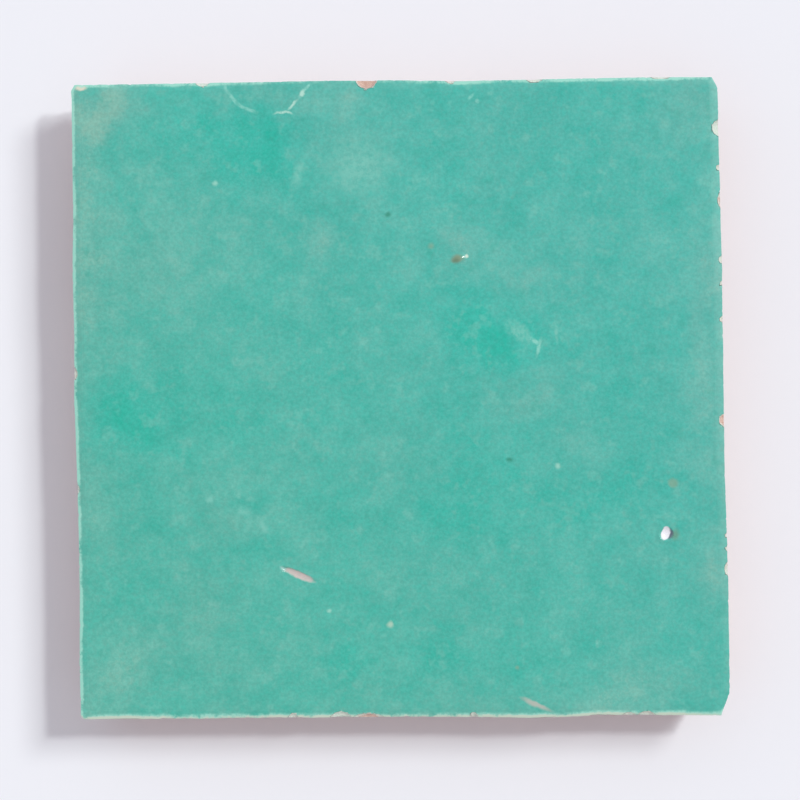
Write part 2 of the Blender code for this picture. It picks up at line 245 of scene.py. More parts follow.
# The underside: pressed clay that touches the ground on its high spots, with drag marks
FOOT_ROWS = ((0.45 * MM, 1), (1.1 * MM, 2))
UNDERSIDE_SPACING = 1.15 * MM
PIT_SPACING = 0.30 * MM
HOLLOW_HEIGHT = 0.16 * MM
HOLLOW_SIZE = 9.0 * MM
DRAG_HEIGHT = 0.08 * MM
DRAG_WIDTH = 1.6 * MM
DRAG_LENGTH = 26.0 * MM
FOOT_RISE = 1.2 * MM


def read_list(values, share):
    """Reads a list of evenly spaced values at shares from 0 to 1."""
    return np.interp(share, np.linspace(0.0, 1.0, len(values)), values)


def smooth(share):
    """Eases a share from 0 to 1, level at both ends."""
    share = np.clip(share, 0.0, 1.0)
    return share * share * (3 - 2 * share)


def fractal(points, size, octaves=4, shift=(0.0, 0.0, 0.0), stretch=(1.0, 1.0, 1.0)):
    """Fractal noise of about -1 to 1 at each point, with features of the given size."""
    places = (np.asarray(points) / np.asarray(stretch) / size + np.asarray(shift)).reshape(-1, 3)
    values = [noise.fractal(place, 0.8, 2.1, octaves) for place in places.tolist()]
    return np.array(values).reshape(np.shape(points)[:-1])


def below_land(depth):
    """The share of the way from the foot of the land down to the underside."""
    return np.maximum(0.0, (depth - LAND_HEIGHT) / (THICKNESS - LAND_HEIGHT))


def corner(name, depth):
    """A corner of the outline at depths below the glazed face, as an array of (x, y)."""
    south_or_north, west_or_east = name
    shift_x, shift_y = CORNER_SHIFTS[name]
    land = LAND_INSET * np.minimum(1.0, depth / LAND_HEIGHT)
    inset = land + (UNDERCUT - LAND_INSET) * below_land(depth)
    x = OUTWARD[west_or_east][0] * (FACE_WIDTH / 2 - inset) + shift_x
    y = OUTWARD[south_or_north][1] * (FACE_DEPTH / 2 - inset) + shift_y
    return np.stack((x, y), axis=-1)


class ChiselledSide:
    """One side of the tile, with the row of blows that trimmed it."""

    def __init__(self, name, length, chance):
        self.name = name
        self.blows = round(length / BLOW_WIDTH)
        inner = range(1, self.blows)
        jitter = BLOW_JITTER / BLOW_WIDTH / 2
        self.ridges = [0.0] + [(n + chance.uniform(-1, 1) * jitter) / self.blows for n in inner] + [1.0]
        self.slants = [0.0] + [chance.uniform(-1, 1) * BLOW_SLANT / length for _ in inner] + [0.0]
        self.undercuts = [0.0] + [chance.uniform(-1, 1) * UNDERCUT_SPREAD for _ in inner] + [0.0]
        self.scars = np.array([chance.uniform(SHALLOWEST_SCAR, 1) * SCAR_DEPTH for _ in range(self.blows)])

    def points(self, share, depth):
        """The (x, y) of points at shares along the side and depths below the glazed face."""
        share, depth = np.broadcast_arrays(np.asarray(share, float), np.asarray(depth, float))
        moved = read_list(self.ridges, share) + read_list(self.slants, share) * below_land(depth)
        start, end = [corner(name, depth) for name in ENDS[self.name]]
        place = start + (end - start) * moved[..., None]
        blow = np.clip((share * self.blows).astype(int), 0, self.blows - 1)
        across_blow = 2 * (share * self.blows - blow) - 1
        scar = self.scars[blow] * (1 - across_blow**2) * np.minimum(1.0, depth / LAND_HEIGHT)
        undercut = read_list(self.undercuts, share) * below_land(depth)
        wander = read_list(EDGE_WANDER[self.name], moved) * WANDER_STEP
        return place + np.array(OUTWARD[self.name][:2]) * (wander - undercut - scar)[..., None]


def make_sides():
    """The four chiselled sides, by name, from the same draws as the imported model's."""
    chance = random.Random(SEED)
    lengths = (FACE_WIDTH, FACE_WIDTH, FACE_DEPTH, FACE_DEPTH)
    return {name: ChiselledSide(name, length, chance) for name, length in zip(SIDES, lengths)}


def glaze_height(x, y):
    """The height of the glazed face over the underside, before the rim drops."""
    across = 2 * x / FACE_WIDTH
    up = 2 * y / FACE_DEPTH
    crown = CROWN * ((1 - across**2) * (1 - up**2) - 1)
    turn = 2 * math.pi / WAVE_LENGTH
    waves = sum(np.sin(turn * (along_x * x + along_y * y) + phase) for along_x, along_y, phase in WAVES)
    return THICKNESS + crown + WAVE_HEIGHT * waves


class Lens:
    """The hollow that a knock leaves: a stretched ball, placed by a matrix."""

    def __init__(self, matrix, half_sizes):
        self.half_sizes = half_sizes
        self.outwards = np.array(matrix @ Matrix.Diagonal((*half_sizes, 1.0)))
        self.inwards = np.linalg.inv(self.outwards)

    def unit(self, points):
        """The points in the ball's own axes, where its radius is 1."""
        return points @ self.inwards[:3, :3].T + self.inwards[:3, 3]

    def push(self, points, direction):
        """How far each point inside goes along a direction to leave the lens, and 0 for the others."""
        places = self.unit(points)
        step = self.inwards[:3, :3] @ np.asarray(direction, float)
        square = step @ step
        half = places @ step
        past = (places**2).sum(axis=-1) - 1
        reach = (np.sqrt(np.maximum(half**2 - square * past, 0.0)) - half) / square
        return np.where(past < 0, reach, 0.0)

    def carve(self, points):
        """The points, with those inside pushed out straight away from the lens's middle."""
        places = self.unit(points)
        radius = np.sqrt((places**2).sum(axis=-1))
        moved = places / np.maximum(radius, 1e-9)[..., None]
        world = moved @ self.outwards[:3, :3].T + self.outwards[:3, 3]
        return np.where((radius < 1)[..., None], world, points)


def side_matrix(side, place):
    """Axes at a place on a side: X along the side, Y outwards, Z up."""
    outward = Vector(OUTWARD[side])
    matrix = Matrix((outward.cross(UP), outward, UP)).transposed().to_4x4()
    matrix.translation = place
    return matrix


def side_lens(sides, side, share, above_foot, half_sizes, turn):
    """A lens over a side, leaning as the side leans, that stands off the clay."""
    x, y = sides[side].points(share, THICKNESS - above_foot)
    place = Vector((x, y, above_foot)) + Vector(OUTWARD[side]) * half_sizes[1] * SIDE_STAND_OFF
    lean = Matrix.Rotation(-LEAN, 4, "X")
    return Lens(side_matrix(side, place) @ lean @ Matrix.Rotation(turn, 4, "Y"), half_sizes)


def flake_lenses(sides):
    """The big flakes and their sides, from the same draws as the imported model's."""
    chance = random.Random(SEED + 1)
    narrowing = math.sqrt(1 - SIDE_STAND_OFF**2)
    for side, number in itertools.product(SIDES, range(FLAKES_PER_SIDE)):
        share = (number + chance.uniform(*FLAKE_STRETCH)) / FLAKES_PER_SIDE
        size = chance.uniform(SMALLEST_FLAKE, 1)
        height = FLAKE_HEIGHT * size * chance.uniform(FLATTEST_FLAKE, 1)
        above_foot = height * chance.uniform(*FLAKE_RISE)
        turn = chance.uniform(-1, 1) * FLAKE_TURN
        half_length = FLAKE_LENGTH * size / 2 / narrowing
        half_depth = FLAKE_DEPTH * size / (1 - SIDE_STAND_OFF)
        half_sizes = (half_length, half_depth, height / 2 / narrowing)
        yield side, side_lens(sides, side, share, above_foot, half_sizes, turn)


def spall_lenses(sides):
    """The small spalls and their sides: most are small, and most lie near the foot."""
    chance = random.Random(SEED + 2)
    for side, _ in itertools.product(SIDES, range(SPALLS_PER_SIDE)):
        share = chance.uniform(*SPALL_ENDS)
        size = chance.uniform(SMALLEST_SPALL, 1.0) ** SMALL_POWER
        above_foot = chance.uniform(0.0, HIGHEST_SPALL) ** LOW_POWER * THICKNESS
        half_length = SPALL_LENGTH * size / 2
        half_height = half_length * chance.uniform(FLATTEST_SPALL, 1.0)
        half_sizes = (half_length, SPALL_DEPTH * (THINNEST_SPALL + size), half_height)
        turn = chance.uniform(-1, 1) * math.pi / 2
        yield side, side_lens(sides, side, share, above_foot, half_sizes, turn)


def rim_chip_lenses(sides):
    """The chips out of the glazed rim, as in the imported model, each with its side and number."""
    bite = math.sqrt(1 - RIM_STAND_OFF**2) - RIM_STAND_OFF
    narrowing = math.sqrt(1 - 2 * RIM_STAND_OFF**2)
    for side, chips in RIM_CHIPS.items():
        for number, (share, length, reach) in enumerate(chips):
            half_reach = reach / bite
            half_fall = reach * RIM_CHIP_FALL / bite
            x, y = sides[side].points(share, 0.0)
            place = Vector((x, y, glaze_height(x, y) - RIM_DROP))
            place += (Vector(OUTWARD[side]) * half_reach + UP * half_fall) * RIM_STAND_OFF
            half_sizes = (length / 2 / narrowing, half_reach, half_fall)
            yield (side, number), Lens(side_matrix(side, place), half_sizes)


class Wall:
    """The sides as one closed band of points: rows go down, columns go round from the south-west."""

    def __init__(self, sides):
        rows = round((THICKNESS - LIP_ROWS[-1]) / WALL_ROW)
        self.depths = np.concatenate((LIP_ROWS, np.linspace(LIP_ROWS[-1], THICKNESS, rows + 1)[1:]))
        self.spans = {}
        points = []
        for name in ("south", "east", "north", "west"):
            count = sides[name].blows * COLUMNS_PER_BLOW
            shares = np.arange(count) / count
            if name in ("north", "west"):
                shares = 1 - shares
            self.spans[name] = (len(points), count)
            points += list(sides[name].points(shares[:, None], self.depths[None, :]))
        flat = np.stack(points, axis=1)
        self.columns = len(points)
        top = glaze_height(flat[..., 0], flat[..., 1]) - RIM_DROP
        height = top * (1 - self.depths / THICKNESS)[:, None]
        self.points = np.concatenate((flat, height[..., None]), axis=-1)
        self.sunk = np.zeros(self.points.shape[:2])

    def of_side(self, name):
        """The columns of a side, with both its corners."""
        first, count = self.spans[name]
        return np.arange(first, first + count + 1) % self.columns

    def sink(self, name, amount):
        """Moves a side inwards by an amount at each point, which dies away round its corners."""
        first, count = self.spans[name]
        inward = -np.array(OUTWARD[name][:2], float)
        columns = self.of_side(name)
        self.points[:, columns, :2] += inward * amount[..., None]
        self.sunk[:, columns] += amount
        for step in range(1, CORNER_COLUMNS):
            left = 1 - step / CORNER_COLUMNS
            for column, last in (((first - step), 0), ((first + count + step), -1)):
                column %= self.columns
                self.points[:, column, :2] += inward * amount[:, last, None] * left
                self.sunk[:, column] += amount[:, last] * left

    def hollows(self):
        """How much deeper each point was sunk than the points round it."""
        around = self.sunk
        for axis, mode in ((1, "wrap"), (0, "edge")):
            margin = [(0, 0), (0, 0)]
            margin[axis] = (HOLLOW_REACH, HOLLOW_REACH)
            padded = np.pad(around, margin, mode=mode)
            places = np.arange(around.shape[axis])
            around = sum(np.take(padded, places + n, axis) for n in range(2 * HOLLOW_REACH + 1))
            around = around / (2 * HOLLOW_REACH + 1)
        return self.sunk - around

    def clip_corners(self):
        """Knocks off each corner along an upright wedge that leans in towards the underside."""
        for name, (lost_x, lost_y) in CORNER_CLIPS.items():
            out_x = OUTWARD[name[1]][0]
            out_y = OUTWARD[name[0]][1]
            outward = np.array((out_x * lost_y, out_y * lost_x))
            outward /= np.linalg.norm(outward)
            middle = corner(name, np.array(0.0)) - np.array((out_x * lost_x, out_y * lost_y)) / 2
            depth = THICKNESS - self.points[..., 2]
            past = (self.points[..., :2] - middle) @ outward + math.tan(LEAN) * depth
            self.points[..., :2] -= outward * np.maximum(past, 0.0)[..., None]

    def break_rim(self):
        """Breaks the glaze back from the clay's edge, and bites nicks into both."""
        for name, widths in BREAK_WIDTH.items():
            rim = self.points[:1, self.of_side(name)]
            swing = SWING * fractal(rim, SWING_SIZE, 2, (3, 1, 7))
            crumbs = CRUMB_SWING * fractal(rim, CRUMB_SIZE, 3, (6, 2, 4))
            share = (np.arange(rim.shape[1]) + 0.5) / rim.shape[1]
            if name in ("north", "west"):
                share = 1 - share
            back = read_list(widths, share) * MM * np.clip(1 + swing + crumbs, LEAST_BREAK, MOST_BREAK)
            shape = np.clip(1 - self.depths / BREAK_DEPTH, 0, 1)[:, None] ** BREAK_CURVE
            nicks = fractal(rim, NICK_LENGTH, 3, (11, 5, 2)) - NICK_START
            nicks = np.clip(nicks, 0, NICK_RANGE) / NICK_RANGE
            fall = np.clip(1 - self.depths / NICK_FALL, 0, 1)[:, None]
            self.sink(name, back * shape + NICK_DEPTH * nicks * fall)

    def flake(self, sides):
        """Takes the flakes and the spalls off the sides, and leaves rings in the big scars."""
        for name, lens in flake_lenses(sides):
            points = self.points[:, self.of_side(name)]
            amount = lens.push(points, -np.array(OUTWARD[name]))
            x, _, z = np.moveaxis(lens.unit(points) * lens.half_sizes, -1, 0)
            from_strike = np.hypot(x, lens.half_sizes[2] - z)
            rings = np.sin(2 * math.pi * from_strike / RING_PITCH)
            self.sink(name, amount + RING_HEIGHT * rings * smooth(amount / RING_DEPTH))
        for name, lens in spall_lenses(sides):
            self.sink(name, lens.push(self.points[:, self.of_side(name)], -np.array(OUTWARD[name])))

    def roughen(self):
        """Gives the clay its ridges and grain below the glaze, and streaks down the land."""
        for name in SIDES:
            points = self.points[:, self.of_side(name)]
            stretch = (1, 1, STREAK_LENGTH / STREAK_WIDTH)
            streaks = STREAK_HEIGHT * fractal(points, STREAK_WIDTH, 2, (5, 9, 1), stretch)
            ridges = RIDGE_HEIGHT * np.abs(fractal(points, RIDGE_SIZE, 4, (2, 4, 6)))
            grain = GRAIN_HEIGHT * fractal(points, GRAIN_SIZE, 4, (8, 3, 5))
            fine = smooth((self.depths - GRAIN_START) / GRAIN_RISE)[:, None]
            coarse = smooth((self.depths - RIDGE_START) / RIDGE_RISE)[:, None]
            self.sink(name, (streaks + grain) * fine + ridges * coarse)


class Outline:
    """A closed outline of the tile in plan, that gives the distance in from its nearest side."""

    def __init__(self, wall, row):
        self.ring = wall.points[row]
        self.curves = {}
        for name in SIDES:
            along = 0 if name in ("south", "north") else 1
            curve = self.ring[wall.of_side(name)]
            curve = curve[np.argsort(curve[:, along])]
            self.curves[name] = (curve[:, along], curve[:, 1 - along])
        self.wall = wall

    def gaps(self, points):
        """The distance of each point from each of the four sides, in from the outline."""
        x, y = points[..., 0], points[..., 1]
        return {
            "south": y - np.interp(x, *self.curves["south"]),
            "north": np.interp(x, *self.curves["north"]) - y,
            "west": x - np.interp(y, *self.curves["west"]),
            "east": np.interp(y, *self.curves["east"]) - x,
        }

    def gap(self, points):
        """The distance of each point from the nearest side."""
        return np.minimum.reduce(list(self.gaps(points).values()))

    def paleness(self, points, rims):
        """How pale each point is, by its gap from the rims that are pale."""
        gaps = self.gaps(points)
        found = np.zeros(len(points))
        for name, (width, values) in rims.items():
            share = points[:, 0 if name in ("south", "north") else 1] / FACE_WIDTH + 0.5
            found = np.maximum(found, read_list(values, share) * smooth(1 - gaps[name] / width))
        return found

    def rows_inside(self, rows):
        """Points in rows that follow the outline, each row a distance in, with every nth column."""
        found = []
        for distance, every in rows:
            for name in SIDES:
                columns = self.wall.of_side(name)[::every]
                moved = self.ring[columns, :2] - np.array(OUTWARD[name][:2]) * distance
                found.append(moved[self.gap(moved) > ROW_CLEARANCE * distance])
        return drop_close(np.concatenate(found))


def drop_close(points):
    """The points without those that share a small cell with an earlier one."""
    cells = np.round(points / CLOSEST_POINTS).astype(int)
    _, first = np.unique(cells, axis=0, return_index=True)
    return points[np.sort(first)]


def hex_field(spacing, centre, half_sizes):
    """A field of points in even triangles, over a rectangle."""
    rows = np.arange(-half_sizes[1], half_sizes[1], spacing * math.sqrt(0.75))
    columns = np.arange(-half_sizes[0], half_sizes[0], spacing)
    x, y = np.meshgrid(columns, rows)
    x[1::2] += spacing / 2
    return np.stack((x.ravel() + centre[0], y.ravel() + centre[1]), axis=-1)


def in_ellipse(points, centre, half_sizes, turn=0.0):
    """How far each point lies from an ellipse's middle: 0 there, and 1 on its edge."""
    x = points[..., 0] - centre[0]
    y = points[..., 1] - centre[1]
    along = x * math.cos(turn) + y * math.sin(turn)
    across = y * math.cos(turn) - x * math.sin(turn)
    return np.hypot(along / half_sizes[0], across / half_sizes[1])


def fill_outline(outline, rows, spacing, fine_spots, fine_spacing):
    """Fills an outline with points: rows along it, an even field, and a finer field on each spot."""
    inside_rows = rows[-1][0] + spacing * 0.5
    field = hex_field(spacing, (0, 0), (FACE_WIDTH / 2, FACE_DEPTH / 2))
    field = field[outline.gap(field) > inside_rows]
    edge = outline.rows_inside(rows)
    parts = []
    for centre, half_sizes, turn in fine_spots:
        reach = max(half_sizes)
        fine = hex_field(fine_spacing, centre, (reach, reach))
        parts.append(fine[in_ellipse(fine, centre, half_sizes, turn) < 1])
        grown = [half + fine_spacing * 1.5 for half in half_sizes]
        field = field[in_ellipse(field, centre, grown, turn) > 1]
        edge = edge[in_ellipse(edge, centre, grown, turn) > 1]
    return np.concatenate([edge, field] + parts)


def triangles(ring, inner):
    """Delaunay triangles over a ring of points and the points inside it, as indices into both."""
    places = np.concatenate((ring[:, :2], inner)) / MM
    count = len(ring)
    edges = [(n, (n + 1) % count) for n in range(count)]
    vectors = [Vector(place) for place in places.tolist()]
    _, _, faces, sources, _, _ = delaunay_2d_cdt(vectors, edges, [], 1, 1e-7)
    return [[sources[corner_index][0] for corner_index in face] for face in faces]


def glazed_face(outline):
    """The points of the glazed face inside the rim, with its ripples, nib, bubble and scratch."""
    flat = fill_outline(outline, RIM_ROWS, FACE_SPACING, FINE_SPOTS, MARK_SPACING)
    height = skin_height(outline, flat)
    places = np.column_stack((flat, np.zeros(len(flat))))
    height += RIPPLE_HEIGHT * fractal(places, RIPPLE_SIZE, 3) * smooth(outline.gap(flat) / RIM_WIDTH)

    nib = in_ellipse(flat, NIB, (NIB_HALF_LENGTH, NIB_HALF_WIDTH), NIB_TURN)
    height += NIB_HEIGHT * smooth(1 - nib)

    from_bubble = in_ellipse(flat, BUBBLE, (1.0, 1.0))
    ball = (BUBBLE_RADIUS**2 + BUBBLE_DEPTH**2) / (2 * BUBBLE_DEPTH)
    height += BUBBLE_LIP * np.exp(-(((from_bubble - BUBBLE_RADIUS * 1.1) / BUBBLE_LIP_WIDTH) ** 2))
    bowl = glaze_height(*BUBBLE) + ball - BUBBLE_DEPTH - np.sqrt(np.maximum(ball**2 - from_bubble**2, 0))
    height = np.where(from_bubble < BUBBLE_RADIUS, np.minimum(height, bowl), height)

    along = in_ellipse(flat, SCRATCH, (SCRATCH_LENGTH / 2, SCRATCH_WIDTH / 2), SCRATCH_TURN)
    floor = glaze_height(*SCRATCH) - SCRATCH_DEPTH * np.sqrt(np.maximum(1 - along**2, 0))
    height = np.where(along < 1, np.minimum(height, floor), height)
    return np.column_stack((flat, height))


def skin_height(outline, points):
    """The height of the unbroken glaze over each point, down to its rounded rim."""
    near_rim = np.clip(1 - outline.gap(points) / RIM_WIDTH, 0, 1)
    return glaze_height(points[..., 0], points[..., 1]) - RIM_DROP * near_rim**2


def underside(outline):
    """The points of the underside inside its edge: high spots on the ground, hollows and pits."""
    spots = []
    for across, up, radius, _ in UNDERSIDE_PITS:
        centre = ((across - 0.5) * FACE_WIDTH, (up - 0.5) * FACE_DEPTH)
        spots.append((centre, (radius * 1.15, radius * 1.15), 0.0))
    flat = fill_outline(outline, FOOT_ROWS, UNDERSIDE_SPACING, spots, PIT_SPACING)
    places = np.column_stack((flat, np.zeros(len(flat))))
    hollows = HOLLOW_HEIGHT * np.clip(fractal(places, HOLLOW_SIZE, 4, (1, 2, 3)) + 0.1, 0, 1)
    stretch = (1, DRAG_LENGTH / DRAG_WIDTH, 1)
    drags = DRAG_HEIGHT * np.clip(fractal(places, DRAG_WIDTH, 2, (7, 2, 9), stretch) - 0.1, 0, 1)
    height = (hollows + drags) * smooth(outline.gap(flat) / FOOT_RISE)
    for (centre, _, _), (_, _, radius, depth) in zip(spots, UNDERSIDE_PITS):
        ball = (radius**2 + depth**2) / (2 * depth)
        from_pit = in_ellipse(flat, centre, (1.0, 1.0))
        bowl = depth - ball + np.sqrt(np.maximum(ball**2 - from_pit**2, 0))
        height = np.where(from_pit < radius, np.maximum(height, bowl), height)
    return np.column_stack((flat, height))


# Slow changes in the glaze: the middle of each patch, its half sizes in millimetres, its turn in
# degrees, and how far it goes towards the greyish mint, or below 0 towards the vivid teal
GLAZE_PATCHES = (
    (-21.5, 40, 13.5, 9, -25, -0.68), (-31.5, 43.5, 9, 7, 10, -0.32), (12.8, 11, 11, 9.5, 0, -0.70),
    (19.3, 9, 8, 6, 20, -0.30), (-42.7, -2, 10.5, 9, -15, -0.70), (-35.7, -7.5, 6, 5, 0, -0.30),
    (-8.7, -40.5, 6, 5, 0, -0.45), (10.3, -19.5, 15, 9, 0, -0.35), (30.3, -15.5, 11, 8, 0, -0.32),
    (6, -42, 16, 6, 0, -0.20), (-46, 45.5, 9, 7.5, 30, 0.95), (-48.5, 31.5, 6.5, 17, 0, 0.55),
    (-37.7, 18.5, 20, 11, 10, 0.30), (-5.7, 36.5, 7, 6, 0, 0.36), (-8.2, 46.5, 3.5, 6, 0, 0.45),
    (-12.7, 25, 4, 4.5, 0, 0.55), (9.3, 23, 3.5, 3.5, 0, 0.40), (39.3, 37, 8, 5, 0, 0.15),
    (33, 46, 12, 6, 0, -0.22), (-16, 48.5, 16, 5.5, 0, 0.30), (20.3, 18, 5, 3, 0, 0.30),
    (-24.7, -18, 6, 4.5, -40, 0.40), (-28.7, -31.5, 9, 6, 20, 0.30), (-36, -38, 16, 13, 0, 0.32),
    (34, 2, 13, 16, 0, -0.20), (-52, -5, 10, 60, 0, 0.40), (52, 5, 10, 60, 0, 0.42),
    (12, -51, 48, 9, 0, 0.34), (36, -46, 16, 9, 0, 0.26), (-48, 18, 8, 14, 0, 0.25),
    (-46, -46, 10, 9, 0, 0.36), (46, 46, 9, 8, 0, 0.32), (16, -7, 13, 12, 0, -0.20),
    (-30, -5, 11, 10, 0, -0.17), (6, 31, 10, 7, 0, -0.16), (48, 14.5, 3.5, 26, 0, 0.35),
    (49, -26.5, 3.5, 6, 0, 0.40), (42.3, -44.5, 14, 6, 0, 0.25), (3.3, 5.5, 5, 3.5, 0, 0.22),
    (20.8, -0.5, 3.5, 3, 0, 0.35), (26.3, -6.5, 5, 4, 0, 0.25), (-12.7, -6.5, 5, 3, 0, 0.22),
)
# The patches' edges wander: the size of each wander and how far it reaches
PATCH_DRIFTS = ((11 * MM, 3.0 * MM), (2.6 * MM, 1.6 * MM))


def glaze_tone(points):
    """How far the glaze goes at each point towards the greyish mint, or below 0 towards the teal."""
    flat = points * (1.0, 1.0, 0.0)
    for size, reach in PATCH_DRIFTS:
        push = [fractal(flat, size, 3, shift) for shift in ((4, 7, 1), (9, 2, 6))]
        flat[:, :2] += reach * np.stack(push, axis=-1)
    tone = np.zeros(len(points))
    for x, y, half_x, half_y, turn, strength in GLAZE_PATCHES:
        reach = in_ellipse(flat, (x * MM, y * MM), (half_x * MM, half_y * MM), math.radians(turn))
        tone += strength / 2 * smooth(1 - reach)
    return tone


def wall_quads(rows, columns):
    """The faces between the rows of the wall, as indices into its points."""
    quads = []
    for upper in range(0, (rows - 1) * columns, columns):
        lower = upper + columns
        for column in range(columns):
            after = (column + 1) % columns
            quads.append((upper + column, lower + column, lower + after, upper + after))
    return quads


def tile_mesh():
    """The whole tile as one closed mesh, with the attributes that its material reads."""
    sides = make_sides()
    wall = Wall(sides)
    wall.clip_corners()
    wall.break_rim()
    wall.flake(sides)
    wall.roughen()
    rim = Outline(wall, 0)
    foot = Outline(wall, -1)
    top = glazed_face(rim)
    base = underside(foot)
    face_triangles = triangles(rim.ring, top[:, :2])
    under_triangles = triangles(foot.ring, base[:, :2])

    band = wall.points.reshape(-1, 3)
    points = np.concatenate((band, top, base))
    slip_chips = np.zeros(len(points), bool)
    bare_chips = np.zeros(len(points), bool)
    for chip, lens in rim_chip_lenses(sides):
        carved = lens.carve(points)
        chipped = bare_chips if chip in BARE_CHIPS else slip_chips
        chipped |= (carved != points).any(axis=1)
        points = carved

    rows, columns = wall.points.shape[:2]
    last_row = (rows - 1) * columns
    shift_face = len(band) - columns
    shift_base = len(band) + len(top) - columns
    tops = [[n if n < columns else n + shift_face for n in face] for face in face_triangles]
    under_triangles = [face[::-1] for face in under_triangles]
    bases = [[n + last_row if n < columns else n + shift_base for n in face] for face in under_triangles]

    mesh = bpy.data.meshes.new("glazed_tile")
    mesh.from_pydata(points.tolist(), [], wall_quads(rows, columns) + tops + bases)
    mesh.validate()
    mesh.shade_smooth()
    mesh.set_sharp_from_angle(angle=SHARP_ANGLE)

    below_skin = (skin_height(rim, points) - points[:, 2]) / MM
    below_skin[len(band) + len(top):] = THICKNESS / MM
    below_skin[slip_chips] = CHIP_SLIP_DEPTH / MM
    deepened = below_skin[bare_chips] * BARE_CHIP_GROWTH
    below_skin[bare_chips] = np.maximum(deepened, CHIP_SLIP_DEPTH / MM)
    for centre, half_sizes, turn in GLAZED_FLAWS:
        flawed = in_ellipse(points, centre, half_sizes, turn) < 1
        below_skin[flawed & (points[:, 2] > THICKNESS / 2)] = 0
    from_rim = np.maximum(rim.gap(points), 0) / MM
    from_rim[:len(band)] = 0
    # How much deeper each wall point lies than those round it, which the clay's painted shade and light
    # follow
    hollow = np.zeros(len(points))
    hollow[:len(band)] = wall.hollows().ravel() / MM
    attributes = {
        "below_skin": below_skin,
        "from_rim": from_rim,
        "hollow": hollow,
        "tone": glaze_tone(points),
    }
    for name, rims in PALE_RIMS.items():
        attributes[name] = rim.paleness(points, rims)
    for name, values in attributes.items():
        attribute = mesh.attributes.new(name, "FLOAT", "POINT")
        attribute.data.foreach_set("value", np.asarray(values, np.float32))
    return mesh


def srgb(red, green, blue):
    """A colour as the photograph shows it, from 0 to 255, as the linear values that a shader takes."""
    channels = [value / 255 for value in (red, green, blue)]
    linear = [c / 12.92 if c <= 0.04045 else ((c + 0.055) / 1.055) ** 2.4 for c in channels]
    return (*linear, 1.0)


class Nodes:
    """Adds nodes to a material or world, and links them."""

    def __init__(self, block):
        block.use_nodes = True
        self.tree = block.node_tree
        self.tree.nodes.clear()

    def add(self, kind, inputs=None, **settings):
        """Adds a shader node. Each input is a value, or the socket to link to it."""
        node = self.tree.nodes.new("ShaderNode" + kind)
        for name, value in settings.items():
            setattr(node, name, value)
        for name, value in (inputs or {}).items():
            if isinstance(value, bpy.types.NodeSocket):
                self.tree.links.new(value, node.inputs[name])
            else:
                node.inputs[name].default_value = value
        return node

    def attribute(self, name):
        """A number that the mesh stores for each point."""
        return self.add("Attribute", attribute_name=name).outputs["Fac"]

    def math(self, operation, first, second=0.0, third=0.0):
        """A sum or the like of numbers."""
        inputs = {0: first, 1: second, 2: third}
        return self.add("Math", inputs, operation=operation).outputs[0]

    def times(self, first, second):
        """The product of two numbers."""
        return self.math("MULTIPLY", first, second)

    def vector(self, operation, first, second=(0.0, 0.0, 0.0)):
        """A sum, product or the like of vectors, or a number that measures them."""
        outputs = self.add("VectorMath", {0: first, 1: second}, operation=operation).outputs
        return outputs["Value" if operation in ("DISTANCE", "DOT_PRODUCT", "LENGTH") else "Vector"]

    def fade(self, value, low, high, start=0.0, end=1.0):
        """Goes smoothly from start to end as a value goes from low to high."""
        inputs = {"Value": value, "From Min": low, "From Max": high, "To Min": start, "To Max": end}
        return self.add("MapRange", inputs, interpolation_type="SMOOTHSTEP").outputs["Result"]

    def noise(self, place, size, detail, roughness):
        """Noise from about 0.2 to 0.8, with features of the given size: a number and a colour."""
        inputs = {"Vector": place, "Scale": 1 / size, "Detail": detail, "Roughness": roughness}
        return self.add("TexNoise", inputs).outputs

    def colour(self, factor, first, second, blend="MIX"):
        """Mixes two colours."""
        inputs = {0: factor, 6: first, 7: second}
        return self.add("Mix", inputs, data_type="RGBA", blend_type=blend).outputs[2]

    def ramp(self, value, stops):
        """Reads a colour off a ramp of (position, colour) stops."""
        node = self.add("ValToRGB", {0: value})
        elements = node.color_ramp.elements
        while len(elements) < len(stops):
            elements.new(0.5)
        for element, (position, colour) in zip(elements, stops):
            element.position = position
            element.color = colour
        return node.outputs["Color"]

    def warp(self, place, far, size, reach):
        """The place, pushed about by noise of the given size, by up to about half the reach."""
        push = self.vector("SUBTRACT", self.noise(far, size, 3.0, 0.5)["Color"], (0.5, 0.5, 0.5))
        return self.vector("ADD", place, self.vector("MULTIPLY", push, (reach, reach, 0.0)))

    def ellipse(self, place, x, y, half_x, half_y, turn=0.0, core=0.0):
        """1 in the core of an ellipse, given in millimetres and degrees, falling to 0 at its edge."""
        moved = self.vector("SUBTRACT", place, (x * MM, y * MM, 0.0))
        parts = []
        for degrees, half in ((turn, half_x), (turn + 90, half_y)):
            angle = math.radians(degrees)
            axis = (math.cos(angle) / half / MM, math.sin(angle) / half / MM, 0.0)
            parts.append(self.vector("DOT_PRODUCT", moved, axis))
        step = self.add("CombineXYZ", dict(enumerate(parts))).outputs[0]
        return self.fade(self.vector("LENGTH", step), core, 1.0, 1.0, 0.0)

    def disc(self, place, x, y, radius, core=0.0):
        """1 in the core of a disc, given in millimetres, falling to 0 at its edge."""
        distance = self.vector("DISTANCE", place, (x * MM, y * MM, 0.0))
        return self.fade(distance, core * radius * MM, radius * MM, 1.0, 0.0)

    def arc(self, place, x, y, radius, half_width, window):
        """1 along a ring, given in millimetres, where an ellipse lets it be seen."""
        distance = self.vector("DISTANCE", place, (x * MM, y * MM, 0.0))
        off = self.math("ABSOLUTE", self.math("SUBTRACT", distance, radius * MM))
        ring = self.fade(off, 0.15 * half_width * MM, half_width * MM, 1.0, 0.0)
        return self.times(ring, self.ellipse(place, *window))

    def paint(self, base, mask, strength, colour):
        """Paints a colour over another through a mask."""
        return self.colour(self.times(mask, strength), base, colour)


